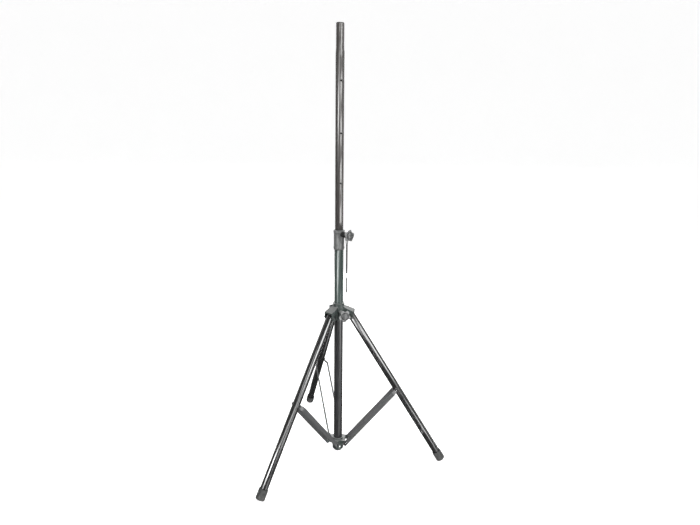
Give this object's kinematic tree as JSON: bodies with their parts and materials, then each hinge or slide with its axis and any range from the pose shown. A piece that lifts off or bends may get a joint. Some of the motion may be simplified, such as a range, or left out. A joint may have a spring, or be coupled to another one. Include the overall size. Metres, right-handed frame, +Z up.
{
  "type": "speaker tripod stand",
  "caption": "Folding telescopic tripod stand with a straight spigot for a loudspeaker, star knobs, strip braces and a lock pin on a cord.",
  "frame": {"origin": "on the floor directly under the column's axis, 4 mm below the flat underside of the column's base plug, with the legs fully open", "axes": "+Z up along the column, +Y towards the rear leg, -Y nearly towards the hub's clamp knob, +X to the right when facing +Y"},
  "size_m": [0.9228, 0.8049, 1.995],
  "materials": {
    "column_paint": "semi-gloss powder coat",
    "mast_paint": "semi-gloss powder coat",
    "leg_paint": "gloss enamel",
    "brace_paint": "powder coat",
    "collar_plastic": "satin moulded",
    "hub_plastic": "satin moulded",
    "knob_plastic": "satin moulded",
    "plug_plastic": "matte moulded",
    "foot_rubber": "matte",
    "pad_rubber": "matte",
    "nylon": "natural nylon",
    "zinc_steel": "zinc plated",
    "bright_steel": "bright plated",
    "pin_steel": "dull steel",
    "dark_steel": "black zinc plated",
    "cord": "braided cord"
  },
  "bodies": {
    "column": {"outer_tube": "column_paint", "upper_collar": "collar_plastic", "collar_bush": "nylon", "collar_insert": "dark_steel", "collar_rivets": "zinc_steel", "bottom_bracket": "hub_plastic", "bracket_rivets": "zinc_steel", "bottom_plug": "plug_plastic"},
    "mast_carrier": {"inner_guide_bush": "nylon"},
    "mast": {"inner_tube": "mast_paint", "top_plug": "plug_plastic"},
    "collar_pad": {"collar_clamp_pad": "pad_rubber"},
    "collar_knob": {"collar_knob": "knob_plastic", "collar_knob_stud": "zinc_steel"},
    "hub": {"hub_body": "hub_plastic", "hub_liner": "nylon", "hub_insert": "dark_steel", "leg_pivot_bolts": "dark_steel", "leg_pivot_washers": "dark_steel", "leg_pivot_nuts": "dark_steel"},
    "hub_pad": {"hub_clamp_pad": "pad_rubber"},
    "hub_knob": {"hub_knob": "knob_plastic", "hub_knob_stud": "zinc_steel"},
    "leg_rear": {"leg_rear_tube": "leg_paint", "leg_rear_top_plug": "plug_plastic", "leg_rear_brace_sleeve": "zinc_steel", "leg_rear_foot": "foot_rubber"},
    "leg_left": {"leg_left_tube": "leg_paint", "leg_left_top_plug": "plug_plastic", "leg_left_brace_sleeve": "zinc_steel", "leg_left_foot": "foot_rubber"},
    "leg_right": {"leg_right_tube": "leg_paint", "leg_right_top_plug": "plug_plastic", "leg_right_brace_sleeve": "zinc_steel", "leg_right_foot": "foot_rubber"},
    "brace_rear": {"brace_rear_strip_a": "brace_paint", "brace_rear_strip_b": "brace_paint", "brace_rear_foot_rivets": "bright_steel", "brace_rear_leg_rivets": "bright_steel"},
    "brace_left": {"brace_left_strip_a": "brace_paint", "brace_left_strip_b": "brace_paint", "brace_left_foot_rivets": "bright_steel", "brace_left_leg_rivets": "bright_steel"},
    "brace_right": {"brace_right_strip_a": "brace_paint", "brace_right_strip_b": "brace_paint", "brace_right_foot_rivets": "bright_steel", "brace_right_leg_rivets": "bright_steel"},
    "lanyard": {"lanyard_cord": "cord", "lanyard_ferrule": "bright_steel"},
    "lock_pin": {"lock_pin": "pin_steel"}
  },
  "joints": [
    {"name": "hub_slide", "type": "slide", "parent": "column", "child": "hub", "axis": [0, 0, 1], "range_m": [0, 0.14859]},
    {"name": "mast_slide", "type": "slide", "parent": "column", "child": "mast_carrier", "axis": [0, 0, 1], "range_m": [-0.75, 0.02]},
    {"name": "mast_swivel", "type": "hinge", "parent": "mast_carrier", "child": "mast", "pos_m": [0, 0, 0.905], "axis": [0, 0, 1], "continuous": true},
    {"name": "collar_pad_slide", "type": "slide", "parent": "column", "child": "collar_pad", "axis": [0.342, -0.9397, 0], "range_m": [0, 0.00188]},
    {"name": "collar_knob_turn", "type": "hinge", "parent": "collar_pad", "child": "collar_knob", "pos_m": [0, 0, 1.105], "axis": [0.342, -0.9397, 0], "range_deg": [0, 540]},
    {"name": "hub_pad_slide", "type": "slide", "parent": "hub", "child": "hub_pad", "axis": [0.0349, -0.9994, 0], "range_m": [0, 0.00188]},
    {"name": "hub_knob_turn", "type": "hinge", "parent": "hub_pad", "child": "hub_knob", "pos_m": [0, 0, 0.733], "axis": [0.0349, -0.9994, 0], "range_deg": [0, 540]},
    {"name": "leg_rear_hinge", "type": "hinge", "parent": "hub", "child": "leg_rear", "pos_m": [0, 0.062, 0.7173], "axis": [-1, 0, 0], "range_deg": [0, 32.5]},
    {"name": "leg_left_hinge", "type": "hinge", "parent": "hub", "child": "leg_left", "pos_m": [-0.05369, -0.031, 0.7173], "axis": [0.5, -0.866, 0], "range_deg": [0, 32.5]},
    {"name": "leg_right_hinge", "type": "hinge", "parent": "hub", "child": "leg_right", "pos_m": [0.05369, -0.031, 0.7173], "axis": [0.5, 0.866, 0], "range_deg": [0, 32.5]},
    {"name": "brace_rear_hinge", "type": "hinge", "parent": "column", "child": "brace_rear", "pos_m": [0, 0.045, 0.057], "axis": [1, 0, 0], "range_deg": [0, 35.64]},
    {"name": "brace_left_hinge", "type": "hinge", "parent": "column", "child": "brace_left", "pos_m": [-0.03897, -0.0225, 0.057], "axis": [-0.5, 0.866, 0], "range_deg": [0, 35.64]},
    {"name": "brace_right_hinge", "type": "hinge", "parent": "column", "child": "brace_right", "pos_m": [0.03897, -0.0225, 0.057], "axis": [-0.5, -0.866, 0], "range_deg": [0, 35.64]},
    {"name": "lanyard_swing", "type": "hinge", "parent": "column", "child": "lanyard", "pos_m": [0, 0, 1.105], "axis": [0.342, -0.9397, 0], "range_deg": [-75, 75]},
    {"name": "lock_pin_swing", "type": "hinge", "parent": "lanyard", "child": "lock_pin", "pos_m": [0.01915, -0.05262, 0.904], "axis": [0.342, -0.9397, 0], "range_deg": [-90, 90]}
  ],
  "couplings": [
    {"joint": "collar_pad_slide", "follows": "collar_knob_turn", "m_per_rad": 0.00019894},
    {"joint": "hub_pad_slide", "follows": "hub_knob_turn", "m_per_rad": 0.00019894},
    {"joint": "leg_rear_hinge", "follows": "hub_slide", "rad_per_m": 3.8174},
    {"joint": "leg_left_hinge", "follows": "hub_slide", "rad_per_m": 3.8174},
    {"joint": "leg_right_hinge", "follows": "hub_slide", "rad_per_m": 3.8174},
    {"joint": "brace_rear_hinge", "follows": "hub_slide", "rad_per_m": 4.1864},
    {"joint": "brace_left_hinge", "follows": "hub_slide", "rad_per_m": 4.1864},
    {"joint": "brace_right_hinge", "follows": "hub_slide", "rad_per_m": 4.1864}
  ]
}
